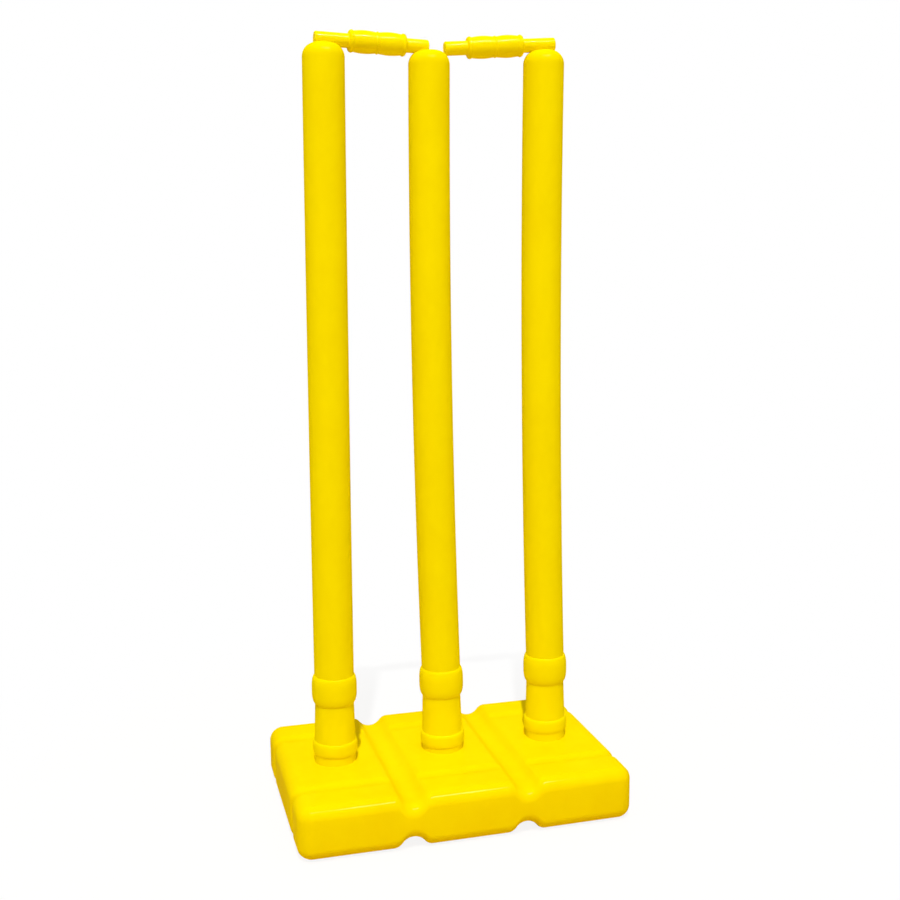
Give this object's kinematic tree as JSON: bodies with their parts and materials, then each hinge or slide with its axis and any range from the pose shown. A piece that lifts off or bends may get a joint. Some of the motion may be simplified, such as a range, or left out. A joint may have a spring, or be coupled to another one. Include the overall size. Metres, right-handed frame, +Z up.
{
  "type": "cricket stumps",
  "caption": "Free-standing moulded plastic wicket: hollow domed stumps plugged into a blow-moulded ballast base, with loose bails resting across their grooved tops.",
  "frame": {"origin": "middle of the underside of the base", "axes": "+Z up along the stumps, X along the row of stumps, +Y through the base towards the back with the filler cap"},
  "size_m": [0.316, 0.208, 0.7224],
  "materials": {
    "base_plastic": "smooth satin-gloss moulded polyethylene, bright yellow",
    "stump_plastic": "smooth satin-gloss moulded polyethylene, bright yellow",
    "bail_plastic": "glossy moulded polyethylene, bright yellow",
    "cap_plastic": "satin moulded plastic, yellow",
    "seal_rubber": "dull black rubber"
  },
  "bodies": {
    "base": {"base_shell": "base_plastic"},
    "stump_middle": {"stump_middle": "stump_plastic"},
    "stump_left": {"stump_left": "stump_plastic"},
    "stump_right": {"stump_right": "stump_plastic"},
    "bail_left": {"bail_left": "bail_plastic"},
    "bail_right": {"bail_right": "bail_plastic"},
    "filler_washer": {"filler_washer": "seal_rubber"},
    "filler_cap": {"filler_cap": "cap_plastic"}
  },
  "joints": [
    {"name": "lift_stump_middle", "type": "slide", "parent": "base", "child": "stump_middle", "axis": [0, 0, 1], "range_m": [0, 0.055]},
    {"name": "lift_stump_left", "type": "slide", "parent": "stump_middle", "child": "stump_left", "axis": [0, 0, 1], "range_m": [0, 0.055]},
    {"name": "lift_stump_right", "type": "slide", "parent": "stump_middle", "child": "stump_right", "axis": [0, 0, 1], "range_m": [0, 0.055]},
    {"name": "lift_bail_left", "type": "slide", "parent": "stump_left", "child": "bail_left", "axis": [0, 0, 1], "range_m": [0, 0.03]},
    {"name": "lift_bail_right", "type": "slide", "parent": "stump_right", "child": "bail_right", "axis": [0, 0, 1], "range_m": [0, 0.03]},
    {"name": "filler_draw", "type": "slide", "parent": "base", "child": "filler_washer", "axis": [0, 1, 0], "range_m": [0, 0.022]},
    {"name": "filler_turn", "type": "hinge", "parent": "filler_washer", "child": "filler_cap", "pos_m": [0, 0.104, 0.025], "axis": [0, 1, 0], "range_deg": [0, 1980]}
  ],
  "couplings": [
    {"joint": "filler_turn", "follows": "filler_draw", "rad_per_m": 1570.8}
  ]
}
